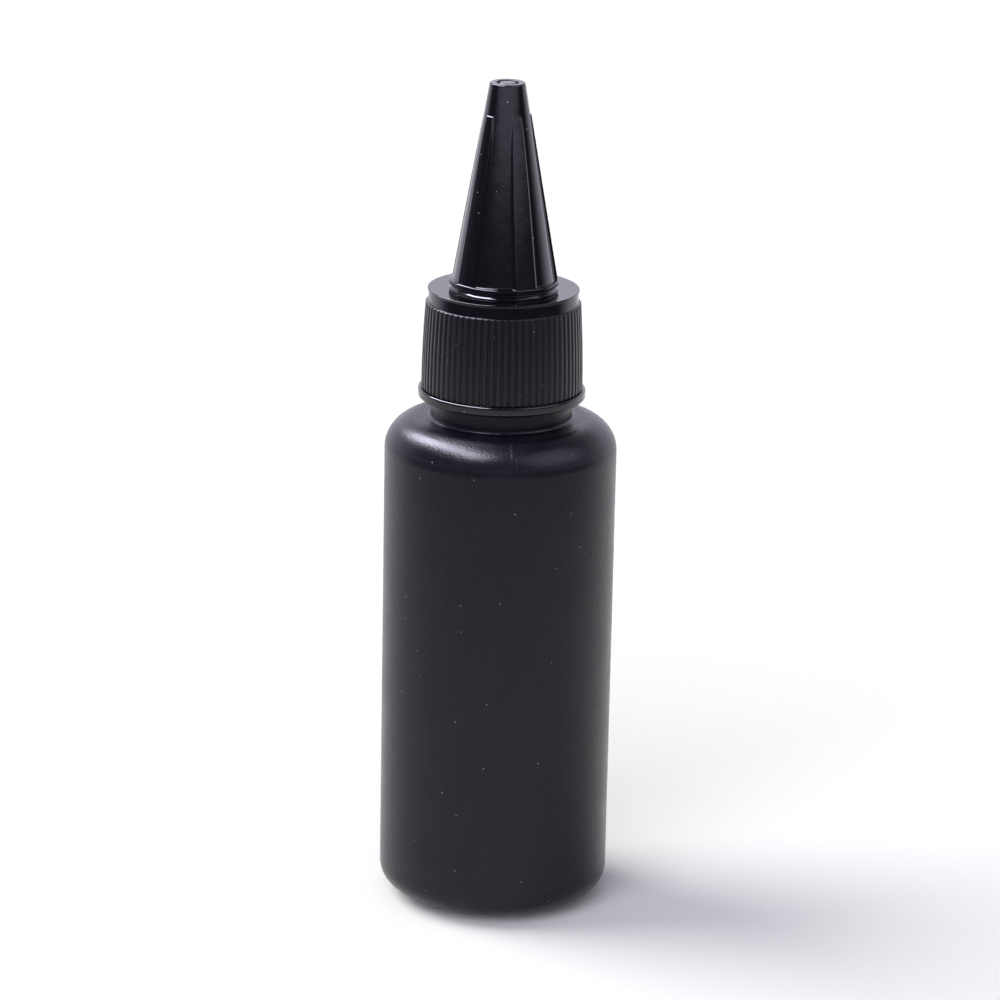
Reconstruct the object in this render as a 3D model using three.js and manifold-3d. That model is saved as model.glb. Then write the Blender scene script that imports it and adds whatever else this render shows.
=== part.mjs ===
// Squeeze bottle for ink: a blow-moulded bottle with a screw cap and a pointed nozzle that opens upward.
// Millimetres, +Z up. The bottle stands on z = 0 and its axis is the Z axis.
// The front of the bottle faces -Y.

import * as THREE from 'three';
import { mergeVertices } from 'three/addons/utils/BufferGeometryUtils.js';
import Module from 'manifold-3d';

const wasm = await Module();
wasm.setup();

// ---------------------------------------------------------------- driving dimensions (mm)

// Bottle body
const BODY_RADIUS = 16.5;
const BODY_HEIGHT = 71.8; // standing ring to the top of the shoulder
const BODY_WALL = 1.1;
const SHOULDER_ROUND = 4.6;
const BASE_ROUND = 6;
const PUSH_UP = 1.5; // how far the middle of the base is domed up
const STANDING_RING_WIDTH = 1.8;
const DOME_FLATNESS = 0.6; // how much of the dome's radius stays nearly flat

// Neck finish, a 20 mm neck with one and a half turns of thread
const NECK_RADIUS = 8.75;
const NECK_WALL = 1.5;
const NECK_CHAMFER = 0.3;
const FINISH_HEIGHT = 13.7; // top of the bead to the sealing land
const BEAD_PROJECTION = 1.3; // the bead that the cap stops above
const BEAD_HEIGHT = 2;
const BEAD_CHAMFER = 0.3;
const BEAD_NECKING = 0.5; // height of the fillet between the shoulder and the bead

// Thread between the neck and the cap, right-handed
const THREAD_PITCH = 3.175;
const THREAD_DEPTH = 1.05;
const THREAD_CREST_WIDTH = 0.8;
const THREAD_FLANK_SPREAD = 0.9; // how much wider the root is than the crest
const NECK_THREAD_TURNS = 1.5;
const CAP_THREAD_TURNS = 1.4;
const THREAD_RUN_OUT = 0.09; // turns over which a ridge dives into its wall at each end
const THREAD_TO_LAND = 1.6; // from the upper end of the thread's centreline to the sealing land

// Sealing liner, a washer between the land and the cap
const LINER_THICKNESS = 1;
const LINER_OVERLAP = 0.65; // how far the washer reaches past the neck all round
const LINER_HOLE_MARGIN = 0.4; // the washer's hole is this much larger than the bore above it

// Screw cap
const DECK_THICKNESS = 1.3;
const CAP_WALL = 0.72; // at the bottom of the grooves between the knurls, at the top of the skirt
const KNURL_COUNT = 72;
const KNURL_DEPTH = 0.3;
const KNURL_CREST_SHARE = 0.42; // of one rib's pitch
const KNURL_VALLEY_SHARE = 0.26;
const SKIRT_FLARE = 0.51;
const BAND_HEIGHT = 2; // smooth band between the deck and the knurls
const BAND_INSET = 0.17; // the band stands this far inside the bottom of the grooves
const DECK_LIP_HEIGHT = 0.2;
const DECK_LIP_PROJECTION = 0.15;
const FLANGE_HEIGHT = 1.6;
const FLANGE_STEP = 0.39; // how far the flange stands out past the knurls
const FLANGE_CHAMFER = 0.25;

// Spout stem in the middle of the cap, with the plug pin that closes the tip
const STEM_RADIUS = 4.4;
const STEM_BORE_RADIUS = 3.1;
const STEM_FILLET = 0.4;
const STOP_BEAD_PROJECTION = 0.35; // the bead on the stem that holds the nozzle on
const STOP_BEAD_HEIGHT = 0.8;
const STEM_ABOVE_BEAD = 2; // the least that the stem goes on above its bead
const PIN_RADIUS = 1.2;
const PIN_FOOT_RADIUS = 1.6;
const PIN_TIP_DROP = 0.25; // the pin's end lies this far below the tip of the nozzle
const PIN_CHAMFER = 0.15;
const PIN_SEAL_HEIGHT = 1.2; // height of the pin's sealing shoulder
const SPOKE_COUNT = 3;
const SPOKE_THICKNESS = 0.9;
const SPOKE_HEIGHT = 3.4;

// Nozzle
const NOZZLE_HEIGHT = 29.7;
const NOZZLE_BASE_RADIUS = 7.18;
const NOZZLE_TIP_RADIUS = 2.45;
const NOZZLE_WALL = 1.25;
const NOZZLE_TRAVEL = 2.6; // closed to open
const STOP_LEDGE = 1; // height of the ledge in the nozzle that stops against the stem's bead
const TIP_CHAMFER = 0.15;
const FOOT_RING_RADIUS = 7.75;
const FOOT_RING_INSET = 0.25; // the ring is tucked in under itself by this much
const FOOT_RING_HEIGHT = 1.4;
const FOOT_TUCK_HEIGHT = 0.35;
const GRIP_RIB_COUNT = 5;
const GRIP_RIB_WIDTH = 1;
const GRIP_RIB_PROJECTION = 0.35;
const GRIP_RIB_TOP_DROP = 4.7; // from the tip down to the upper end of the ribs
const GRIP_RIB_TURN = 25; // degrees from the front to the first rib, counted towards +X

// Clearances
const THREAD_CLEARANCE = 0.15; // radial, crest to root
const THREAD_PLAY = 0.15; // axial, between the flanks that carry the load
const CAP_TO_BEAD_GAP = 0.3;
const LINER_CLEARANCE = 0.1;
const RUNNING_CLEARANCE = 0.15; // radial, stem to nozzle
const STOP_GAP = 0.1; // axial, at each end of the nozzle's travel
const ORIFICE_GAP = 0.35; // radial, pin to orifice
const PIN_SEAL_GAP = 0.1; // radial, pin shoulder to the inside of the cone
const EMBED = 0.3; // how far a feature is sunk into the wall that carries it
const CUT_BEYOND = 1; // how far a hollow is cut past the face that it opens through

// Facets
const ROUND_SEGMENTS = 56;
const ARC_POINTS = 3;
const SKIRT_STEPS = 2;
const HALF_FACET = 0.5 / ROUND_SEGMENTS; // in turns
const KNURL_SKIRT_OVERLAP = 0.4; // how far the knurled skirt is sunk into the flange

// ---------------------------------------------------------------- derived sizes

const neckTopZ = BODY_HEIGHT + BEAD_NECKING + BEAD_HEIGHT + FINISH_HEIGHT;
const beadTopZ = neckTopZ - FINISH_HEIGHT;
const beadRadius = NECK_RADIUS + BEAD_PROJECTION;
const neckBoreRadius = NECK_RADIUS - NECK_WALL;
const shoulderRound = Math.min( SHOULDER_ROUND, BODY_RADIUS - beadRadius - BEAD_NECKING );
const innerShoulderRound = Math.max( shoulderRound - BODY_WALL, BODY_WALL );
const standingRingRadius = BODY_RADIUS - BASE_ROUND;
const domeRadius = standingRingRadius - STANDING_RING_WIDTH;

const threadRootWidth = THREAD_CREST_WIDTH + THREAD_FLANK_SPREAD;
const neckThreadTopZ = neckTopZ - THREAD_TO_LAND;
const neckThreadBottomZ = neckThreadTopZ - NECK_THREAD_TURNS * THREAD_PITCH;

const deckZ = neckTopZ + LINER_THICKNESS + DECK_THICKNESS;
const capHeight = deckZ - beadTopZ - CAP_TO_BEAD_GAP;
const capBoreRadius = NECK_RADIUS + THREAD_DEPTH + THREAD_CLEARANCE;
const linerRadius = NECK_RADIUS + LINER_OVERLAP - LINER_CLEARANCE;
const linerSeatRadius = linerRadius + LINER_CLEARANCE;
const grooveRadius = capBoreRadius + CAP_WALL;
const bandRadius = grooveRadius - BAND_INSET;
const deckRadius = bandRadius + DECK_LIP_PROJECTION;
const flangeRadius = grooveRadius + KNURL_DEPTH + SKIRT_FLARE + FLANGE_STEP;

const guideBoreRadius = STEM_RADIUS + RUNNING_CLEARANCE;
const coneSlope = ( NOZZLE_BASE_RADIUS - NOZZLE_TIP_RADIUS ) / ( NOZZLE_HEIGHT - FOOT_RING_HEIGHT );
const coneRadius = ( z ) => NOZZLE_TIP_RADIUS + ( NOZZLE_HEIGHT - z ) * coneSlope;
const coneHeightAt = ( radius ) => NOZZLE_HEIGHT - ( radius - NOZZLE_TIP_RADIUS ) / coneSlope;
const stopBeadZ = NOZZLE_TRAVEL + STOP_BEAD_HEIGHT + STEM_FILLET + STOP_LEDGE; // underside, above the deck
const stopBeadTopZ = stopBeadZ + STOP_BEAD_HEIGHT;
const guideTopZ = Math.max( coneHeightAt( guideBoreRadius + NOZZLE_WALL ), stopBeadTopZ + STEM_ABOVE_BEAD );
const stemHeight = guideTopZ - 2 * STOP_GAP;
const orificeRadius = PIN_RADIUS + ORIFICE_GAP;
const orificeLandZ = coneHeightAt( orificeRadius + NOZZLE_WALL );
const innerConeRadius = ( z ) => THREE.MathUtils.mapLinear(
	z, guideTopZ, orificeLandZ, guideBoreRadius, orificeRadius,
);
const pinHeight = NOZZLE_HEIGHT - PIN_TIP_DROP;

// ---------------------------------------------------------------- materials

const satinBlack = new THREE.MeshStandardMaterial( { color: 0x2b2a2e, roughness: 0.5, metalness: 0 } );
const glossBlack = new THREE.MeshStandardMaterial( { color: 0x151418, roughness: 0.12, metalness: 0 } );
const foamWhite = new THREE.MeshStandardMaterial( { color: 0xe9e7e1, roughness: 0.8, metalness: 0 } );

// ---------------------------------------------------------------- helpers

// Merged, closed triangles of a three.js geometry, without the slivers on the axis of a lathe.
function toSolid( geometry ) {

	const bare = geometry.clone();
	bare.deleteAttribute( 'normal' );
	bare.deleteAttribute( 'uv' );
	const merged = mergeVertices( bare, 1e-4 );
	const corners = merged.index.array;
	const triangles = [];
	for ( let i = 0; i < corners.length; i += 3 ) {

		const [ a, b, c ] = corners.slice( i, i + 3 );
		if ( a !== b && b !== c && c !== a ) triangles.push( a, b, c );

	}

	return new wasm.Manifold( new wasm.Mesh( {
		numProp: 3,
		vertProperties: new Float32Array( merged.attributes.position.array ),
		triVerts: new Uint32Array( triangles ),
	} ) );

}

function toGeometry( solid ) {

	const mesh = solid.getMesh();
	const geometry = new THREE.BufferGeometry();
	geometry.setAttribute( 'position', new THREE.BufferAttribute( mesh.vertProperties, 3 ) );
	geometry.setIndex( new THREE.BufferAttribute( mesh.triVerts, 1 ) );
	geometry.computeVertexNormals();
	return geometry;

}

// Turns an outline of radius against height, drawn upward on its outer side, about the Z axis.
function revolve( outline, segments = ROUND_SEGMENTS ) {

	const geometry = new THREE.LatheGeometry( outline.getPoints( ARC_POINTS ), segments );
	return toSolid( geometry.rotateX( Math.PI / 2 ) );

}

// Straight-sided outline through a list of [ radius, height ] corners.
function outlineThrough( corners ) {

	return new THREE.Path( corners.map( ( [ radius, height ] ) => new THREE.Vector2( radius, height ) ) );

}

function namedMesh( name, solid, material ) {

	const mesh = new THREE.Mesh( toGeometry( solid ), material );
	mesh.name = name;
	return mesh;

}

// One thread ridge. A straight bar of the ridge's section is bent round the axis as a rising helix,
// and its two ends dive into the wall. The ridge points outward, or inward when depth is negative.
function threadRidge( { wallRadius, depth, turns, bottomZ, startTurn } ) {

	const sunk = - Math.sign( depth ) * EMBED;
	const section = new THREE.Shape( [
		new THREE.Vector2( sunk, - threadRootWidth / 2 ),
		new THREE.Vector2( 0, - threadRootWidth / 2 ),
		new THREE.Vector2( depth, - THREAD_CREST_WIDTH / 2 ),
		new THREE.Vector2( depth, THREAD_CREST_WIDTH / 2 ),
		new THREE.Vector2( 0, threadRootWidth / 2 ),
		new THREE.Vector2( sunk, threadRootWidth / 2 ),
	] );
	const bar = new THREE.ExtrudeGeometry( section, {
		depth: turns,
		steps: Math.round( turns * ROUND_SEGMENTS ),
		bevelEnabled: false,
	} );
	const points = bar.attributes.position;
	for ( let i = 0; i < points.count; i ++ ) {

		const along = points.getZ( i );
		const grown = Math.min( along, turns - along ) / THREAD_RUN_OUT;
		const out = THREE.MathUtils.lerp( sunk / 2, points.getX( i ), THREE.MathUtils.smoothstep( grown, 0, 1 ) );
		const reach = Math.abs( points.getX( i ) - sunk ) < 1e-6 ? sunk : out;
		const angle = ( startTurn + along ) * 2 * Math.PI;
		points.setXYZ(
			i,
			( wallRadius + reach ) * Math.cos( angle ),
			( wallRadius + reach ) * Math.sin( angle ),
			bottomZ - points.getY( i ) + along * THREAD_PITCH,
		);

	}

	return toSolid( bar );

}

// ---------------------------------------------------------------- bottle

function bottle() {

	const shoulderCentre = [ BODY_RADIUS - shoulderRound, BODY_HEIGHT - shoulderRound ];
	const baseCentre = [ BODY_RADIUS - BASE_ROUND, BASE_ROUND ];
	const innerShoulderTop = BODY_HEIGHT - BODY_WALL;
	const outline = new THREE.Path();

	// outside, from the domed base up to the sealing land
	outline.moveTo( 0, PUSH_UP );
	outline.quadraticCurveTo( domeRadius * DOME_FLATNESS, PUSH_UP, domeRadius, 0 );
	outline.lineTo( standingRingRadius, 0 );
	outline.absarc( ...baseCentre, BASE_ROUND, - Math.PI / 2, 0, false );
	outline.lineTo( BODY_RADIUS, BODY_HEIGHT - shoulderRound );
	outline.absarc( ...shoulderCentre, shoulderRound, 0, Math.PI / 2, false );
	outline.lineTo( beadRadius + BEAD_NECKING, BODY_HEIGHT );
	outline.lineTo( beadRadius, BODY_HEIGHT + BEAD_NECKING );
	outline.lineTo( beadRadius, beadTopZ - BEAD_CHAMFER );
	outline.lineTo( beadRadius - BEAD_CHAMFER, beadTopZ );
	outline.lineTo( NECK_RADIUS, beadTopZ );
	outline.lineTo( NECK_RADIUS, neckTopZ - NECK_CHAMFER );
	outline.lineTo( NECK_RADIUS - NECK_CHAMFER, neckTopZ );

	// inside, from the mouth down to the base
	outline.lineTo( neckBoreRadius, neckTopZ );
	outline.lineTo( neckBoreRadius, BODY_HEIGHT );
	outline.lineTo( beadRadius, innerShoulderTop );
	outline.lineTo( BODY_RADIUS - BODY_WALL - innerShoulderRound, innerShoulderTop );
	outline.absarc(
		BODY_RADIUS - BODY_WALL - innerShoulderRound, innerShoulderTop - innerShoulderRound,
		innerShoulderRound, Math.PI / 2, 0, true,
	);
	outline.lineTo( BODY_RADIUS - BODY_WALL, BASE_ROUND );
	outline.absarc( ...baseCentre, BASE_ROUND - BODY_WALL, 0, - Math.PI / 2, true );
	outline.lineTo( domeRadius, BODY_WALL );
	outline.quadraticCurveTo( domeRadius * DOME_FLATNESS, PUSH_UP + BODY_WALL, 0, PUSH_UP + BODY_WALL );

	const thread = threadRidge( {
		wallRadius: NECK_RADIUS,
		depth: THREAD_DEPTH,
		turns: NECK_THREAD_TURNS,
		bottomZ: neckThreadBottomZ,
		startTurn: HALF_FACET,
	} );
	return revolve( outline ).add( thread );

}

// ---------------------------------------------------------------- sealing liner
// Its own zero height is its underside, on the sealing land.

function sealingLiner() {

	const hole = STEM_BORE_RADIUS + LINER_HOLE_MARGIN;
	return revolve( outlineThrough( [
		[ hole, 0 ],
		[ linerRadius, 0 ],
		[ linerRadius, LINER_THICKNESS ],
		[ hole, LINER_THICKNESS ],
		[ hole, 0 ],
	] ) );

}

// ---------------------------------------------------------------- screw cap
// Its own zero height is the top of the deck.

// Fine vertical ribs. The skirt swells a little towards its lower edge.
function knurledSkirt() {

	const top = - BAND_HEIGHT;
	const bottom = FLANGE_HEIGHT - capHeight - KNURL_SKIRT_OVERLAP;
	const height = top - bottom;
	const pitch = 2 * Math.PI / KNURL_COUNT;
	const crestRadius = grooveRadius + KNURL_DEPTH;
	const outline = [];
	for ( let i = 0; i < KNURL_COUNT; i ++ ) {

		const crest = KNURL_CREST_SHARE * pitch / 2;
		const valley = KNURL_VALLEY_SHARE * pitch / 2;
		for ( const [ radius, turn ] of [
			[ grooveRadius, valley ],
			[ crestRadius, pitch / 2 - crest ],
			[ crestRadius, pitch / 2 + crest ],
			[ grooveRadius, pitch - valley ],
		] ) {

			const angle = i * pitch + turn;
			outline.push( new THREE.Vector2( radius * Math.cos( angle ), radius * Math.sin( angle ) ) );

		}

	}

	const skirt = new THREE.ExtrudeGeometry( new THREE.Shape( outline ), {
		depth: height,
		steps: SKIRT_STEPS,
		bevelEnabled: false,
	} );
	const points = skirt.attributes.position;
	for ( let i = 0; i < points.count; i ++ ) {

		const [ x, y, z ] = [ points.getX( i ), points.getY( i ), points.getZ( i ) ];
		const radius = Math.hypot( x, y );
		const swell = SKIRT_FLARE * ( 1 - ( z / height ) ** 2 );
		const grow = ( radius + swell ) / radius;
		points.setXYZ( i, x * grow, y * grow, z + bottom );

	}

	return toSolid( skirt );

}

// The plug pin stands on spokes in the stem's bore and ends just below the tip of the nozzle.
function plugPin() {

	const spokeTop = stemHeight - STOP_GAP;
	const shoulderTop = orificeLandZ - 2 * PIN_CHAMFER;
	const sealRadius = ( z ) => innerConeRadius( z ) - PIN_SEAL_GAP;
	let pin = revolve( outlineThrough( [
		[ 0, spokeTop - SPOKE_HEIGHT ],
		[ PIN_FOOT_RADIUS, spokeTop - SPOKE_HEIGHT ],
		[ PIN_FOOT_RADIUS, spokeTop ],
		[ PIN_RADIUS, spokeTop + PIN_RADIUS ],
		[ PIN_RADIUS, shoulderTop - 2 * PIN_SEAL_HEIGHT ],
		[ sealRadius( shoulderTop - PIN_SEAL_HEIGHT ), shoulderTop - PIN_SEAL_HEIGHT ],
		[ sealRadius( shoulderTop ), shoulderTop ],
		[ PIN_RADIUS, shoulderTop + PIN_CHAMFER ],
		[ PIN_RADIUS, pinHeight - PIN_CHAMFER ],
		[ PIN_RADIUS - PIN_CHAMFER, pinHeight ],
		[ 0, pinHeight ],
	] ), ROUND_SEGMENTS / 2 );
	const reach = STEM_BORE_RADIUS + EMBED;
	for ( let i = 0; i < SPOKE_COUNT; i ++ ) {

		const spoke = new THREE.BoxGeometry( reach, SPOKE_THICKNESS, SPOKE_HEIGHT );
		spoke.translate( reach / 2, 0, spokeTop - SPOKE_HEIGHT / 2 );
		spoke.rotateZ( i * 2 * Math.PI / SPOKE_COUNT );
		pin = pin.add( toSolid( spoke ) );

	}

	return pin;

}

function screwCap() {

	const bottom = - capHeight;
	const flangeTop = bottom + FLANGE_HEIGHT;
	const beadRadiusOnStem = STEM_RADIUS + STOP_BEAD_PROJECTION;
	const outside = revolve( outlineThrough( [
		[ 0, bottom ],
		[ flangeRadius - FLANGE_CHAMFER, bottom ],
		[ flangeRadius, bottom + FLANGE_CHAMFER ],
		[ flangeRadius, flangeTop - FLANGE_CHAMFER ],
		[ flangeRadius - FLANGE_CHAMFER, flangeTop ],
		[ bandRadius, flangeTop ],
		[ bandRadius, - DECK_LIP_HEIGHT - DECK_LIP_PROJECTION ],
		[ deckRadius, - DECK_LIP_HEIGHT ],
		[ deckRadius, 0 ],
		[ STEM_RADIUS + STEM_FILLET, 0 ],
		[ STEM_RADIUS, STEM_FILLET ],
		[ STEM_RADIUS, stopBeadZ ],
		[ beadRadiusOnStem, stopBeadZ + STOP_BEAD_PROJECTION ],
		[ beadRadiusOnStem, stopBeadTopZ - STOP_BEAD_PROJECTION ],
		[ STEM_RADIUS, stopBeadTopZ ],
		[ STEM_RADIUS, stemHeight ],
		[ 0, stemHeight ],
	] ) );

	const underDeck = - DECK_THICKNESS;
	const seatBottom = underDeck - LINER_THICKNESS - LINER_CLEARANCE;
	const hollow = revolve( outlineThrough( [
		[ 0, bottom - CUT_BEYOND ],
		[ capBoreRadius + NECK_CHAMFER, bottom - CUT_BEYOND ],
		[ capBoreRadius + NECK_CHAMFER, bottom ],
		[ capBoreRadius, bottom + NECK_CHAMFER ],
		[ capBoreRadius, seatBottom - NECK_CHAMFER ],
		[ linerSeatRadius, seatBottom ],
		[ linerSeatRadius, underDeck ],
		[ STEM_BORE_RADIUS, underDeck ],
		[ STEM_BORE_RADIUS, stemHeight + CUT_BEYOND ],
		[ 0, stemHeight + CUT_BEYOND ],
	] ) );

	// The cap's ridge runs on the same helix, just under the neck's ridge that holds it down.
	const halfWidths = threadRootWidth / 2 + THREAD_CREST_WIDTH / 2 + THREAD_PLAY;
	const turnsBelow = CAP_THREAD_TURNS - 1;
	const thread = threadRidge( {
		wallRadius: capBoreRadius,
		depth: - ( THREAD_DEPTH - THREAD_CLEARANCE ),
		turns: CAP_THREAD_TURNS,
		bottomZ: neckThreadBottomZ - deckZ - turnsBelow * THREAD_PITCH - halfWidths,
		startTurn: HALF_FACET - turnsBelow,
	} );

	return outside.add( knurledSkirt() ).subtract( hollow ).add( thread ).add( plugPin() );

}

// ---------------------------------------------------------------- nozzle
// Its own zero height is its foot, on the cap's deck.

function gripRib( turnDegrees ) {

	const top = NOZZLE_HEIGHT - GRIP_RIB_TOP_DROP;
	const bottom = FOOT_RING_HEIGHT / 2;
	const side = new THREE.Shape( [
		new THREE.Vector2( coneRadius( bottom ) - EMBED, bottom ),
		new THREE.Vector2( coneRadius( bottom ) + GRIP_RIB_PROJECTION, bottom ),
		new THREE.Vector2( coneRadius( top ) + GRIP_RIB_PROJECTION, top - GRIP_RIB_PROJECTION ),
		new THREE.Vector2( coneRadius( top ) - EMBED, top + EMBED ),
	] );
	const rib = new THREE.ExtrudeGeometry( side, { depth: GRIP_RIB_WIDTH, bevelEnabled: false } );
	rib.translate( 0, 0, - GRIP_RIB_WIDTH / 2 );
	rib.rotateX( Math.PI / 2 );
	rib.rotateZ( THREE.MathUtils.degToRad( turnDegrees - 90 ) );
	return toSolid( rib );

}

function twistNozzle() {

	const footRadius = FOOT_RING_RADIUS - FOOT_RING_INSET;
	let cone = revolve( outlineThrough( [
		[ 0, 0 ],
		[ footRadius, 0 ],
		[ FOOT_RING_RADIUS, FOOT_TUCK_HEIGHT ],
		[ FOOT_RING_RADIUS, FOOT_RING_HEIGHT - FOOT_RING_INSET ],
		[ FOOT_RING_RADIUS - FOOT_RING_INSET, FOOT_RING_HEIGHT ],
		[ coneRadius( FOOT_RING_HEIGHT ), FOOT_RING_HEIGHT ],
		[ coneRadius( NOZZLE_HEIGHT - TIP_CHAMFER ), NOZZLE_HEIGHT - TIP_CHAMFER ],
		[ NOZZLE_TIP_RADIUS - TIP_CHAMFER, NOZZLE_HEIGHT ],
		[ 0, NOZZLE_HEIGHT ],
	] ) );
	for ( let i = 0; i < GRIP_RIB_COUNT; i ++ ) {

		cone = cone.add( gripRib( GRIP_RIB_TURN + i * 360 / GRIP_RIB_COUNT ) );

	}

	// The stem slides in the guide bore, and its bead travels in a wider chamber between two stops.
	const mouthRadius = guideBoreRadius + STEM_FILLET;
	const chamberRadius = guideBoreRadius + STOP_BEAD_PROJECTION;
	const chamberBottom = stopBeadZ - NOZZLE_TRAVEL - STOP_GAP;
	const chamberTop = stopBeadTopZ + STOP_GAP;
	const hollow = revolve( outlineThrough( [
		[ 0, - CUT_BEYOND ],
		[ mouthRadius, - CUT_BEYOND ],
		[ mouthRadius, STEM_FILLET ],
		[ guideBoreRadius, 2 * STEM_FILLET ],
		[ guideBoreRadius, chamberBottom ],
		[ chamberRadius, chamberBottom + STOP_BEAD_PROJECTION ],
		[ chamberRadius, chamberTop - STOP_BEAD_PROJECTION ],
		[ guideBoreRadius, chamberTop ],
		[ guideBoreRadius, guideTopZ ],
		[ orificeRadius, orificeLandZ ],
		[ orificeRadius, NOZZLE_HEIGHT + CUT_BEYOND ],
		[ 0, NOZZLE_HEIGHT + CUT_BEYOND ],
	] ) );

	return cone.subtract( hollow );

}

// ---------------------------------------------------------------- assembly

const closure = new THREE.Group();
closure.position.z = neckTopZ;

const liner = namedMesh( 'sealing_liner', sealingLiner(), foamWhite );
const cap = namedMesh( 'screw_cap', screwCap(), glossBlack );
const nozzle = namedMesh( 'twist_nozzle', twistNozzle(), glossBlack );
cap.position.z = deckZ - neckTopZ;
nozzle.position.z = deckZ - neckTopZ;
closure.add( liner, cap, nozzle );

const inkBottle = new THREE.Group();
inkBottle.add( namedMesh( 'bottle', bottle(), satinBlack ), closure );

export default inkBottle;
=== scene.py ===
"""Ink bottle: a blow-moulded squeeze bottle with a knurled screw cap and a pointed nozzle.

Each piece is a turned outline with rounded edges, and threads, knurls or ribs raised on it. The pieces ride
on the CAD's bodies and stand for its nodes; the closure cap and the plug pin together are the screw cap.
Outlines are in millimetres, radius against height.
"""

import math

import bmesh
import bpy
import numpy as np
from mathutils import Matrix, Vector


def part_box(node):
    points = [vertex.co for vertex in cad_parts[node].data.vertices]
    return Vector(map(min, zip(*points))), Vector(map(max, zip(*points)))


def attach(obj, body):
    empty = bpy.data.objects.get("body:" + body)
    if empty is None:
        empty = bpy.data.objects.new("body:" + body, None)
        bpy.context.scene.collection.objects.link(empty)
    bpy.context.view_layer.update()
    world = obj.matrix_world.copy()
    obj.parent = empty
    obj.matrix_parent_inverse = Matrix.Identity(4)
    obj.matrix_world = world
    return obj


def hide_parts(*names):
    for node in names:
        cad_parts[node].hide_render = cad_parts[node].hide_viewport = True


MM = 0.001

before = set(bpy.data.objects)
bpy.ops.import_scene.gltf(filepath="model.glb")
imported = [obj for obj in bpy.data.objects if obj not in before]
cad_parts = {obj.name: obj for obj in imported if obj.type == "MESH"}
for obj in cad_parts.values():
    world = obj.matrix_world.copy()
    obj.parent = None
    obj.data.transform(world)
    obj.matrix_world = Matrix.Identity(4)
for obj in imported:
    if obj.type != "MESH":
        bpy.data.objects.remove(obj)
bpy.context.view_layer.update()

# ------------------------------------------------------------------ sizes from the frame (mm)

TIP_DROP = 0.28
PIN_DROP = 0.04

bottle_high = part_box("bottle")[1] / MM
cap_low, cap_high = (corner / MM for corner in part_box("screw_cap"))
nozzle_low, nozzle_high = (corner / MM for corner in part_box("twist_nozzle"))
liner_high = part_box("sealing_liner")[1] / MM

BODY_RADIUS = bottle_high.x
NECK_TOP = bottle_high.z
CAP_BOTTOM = cap_low.z
FLANGE_RADIUS = cap_high.x
DECK = nozzle_low.z
TIP = nozzle_high.z - TIP_DROP
PIN_TOP = TIP - PIN_DROP
LINER_RADIUS = liner_high.x

# ------------------------------------------------------------------ sizes of the shapes (mm)

# Bottle body
BODY_WALL = 1.1
NECK_HEIGHT = 16.48
BODY_HEIGHT = NECK_TOP - NECK_HEIGHT
BASE_TAPER = 0.1
SHOULDER_ROUND = 4.6
BASE_ROUND = 3.6
STANDING_RADIUS = 10.5
BASE_RISE = 2.3
PUSH_UP = 1.5
DOME_RADIUS = 8.7
DOME_FLAT = 0.6 * DOME_RADIUS
DOME_ROUND = 5
BODY_COLUMNS = 288
PARTING_TURN = math.radians(7)
PARTING_WIDTH = 0.62
PARTING_EDGE = 0.16
PARTING_HEIGHT = 0.022
PINCH_LENGTH = 15.0
PINCH_END = 0.6
PINCH_HEIGHT = 0.3
PINCH_HALF_WIDTH = (0.25, 0.5)

# Neck finish
NECK_RADIUS = 8.75
NECK_BORE_RADIUS = 7.25
BEAD_RADIUS = 10.05
BEAD_TOP = NECK_TOP - 13.7
NECK_LIP_ROUND = 0.3

# Thread
THREAD_PITCH = 3.175
THREAD_DEPTH = 1.05
CAP_THREAD_DEPTH = 0.9
THREAD_CREST_WIDTH = 0.8
THREAD_ROOT_WIDTH = 1.7
NECK_THREAD_TURNS = 1.5
CAP_THREAD_TURNS = 1.4
THREAD_RUN_OUT = 0.09
NECK_THREAD_BOTTOM = NECK_TOP - 1.6 - NECK_THREAD_TURNS * THREAD_PITCH
CAP_THREAD_BELOW = 1.4

# Liner
LINER_HOLE_RADIUS = 3.5
LINER_ROUND = 0.12
LINER_DENT = 0.06
LINER_COLUMNS = 192

# Screw cap
CAP_BORE_RADIUS = 9.95
LINER_SEAT_RADIUS = LINER_RADIUS + 0.1
UNDER_DECK = DECK - 1.3
FLANGE_TOP = CAP_BOTTOM + 1.3
SKIRT_TOP = DECK - 2.0
GROOVE_RADIUS = 10.77
BAND_RADIUS = 10.6
DECK_RADIUS = 10.72
DECK_LIP = 0.2
SKIRT_FLARE = 0.45
SKIRT_RINGS = 6
KNURL_COUNT = 72
KNURL_DEPTH = 0.2
KNURL_FLANK = (0.08, 0.12, 0.155, 0.19, 0.22, 0.26)
KNURL_END = 0.1
KNURL_TOP_BELOW = (0.06, 0.045, 0.03)
KNURL_TOP_SHARE = (1, 0.88, 0)
STEM_RADIUS = 4.4
STEM_BORE_RADIUS = 3.1
STEM_TOP = DECK + 9.46
STOP_BEAD_RADIUS = 4.75
STOP_BEAD_BOTTOM = DECK + 4.8
STOP_BEAD_TOP = DECK + 5.6

# Plug pin
PIN_RADIUS = 1.2
PIN_FOOT_RADIUS = 1.6
SPOKE_COUNT = 3
SPOKE_THICKNESS = 0.9
SPOKE_BOTTOM = DECK + 5.96
SPOKE_TOP = DECK + 9.36
SEAL_BOTTOM = DECK + 24.9
SEAL_TOP = DECK + 27.3
SEAL_LENGTH = 1.2
SEAL_GAP = 0.1
PIN_COLUMNS = 96

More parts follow.
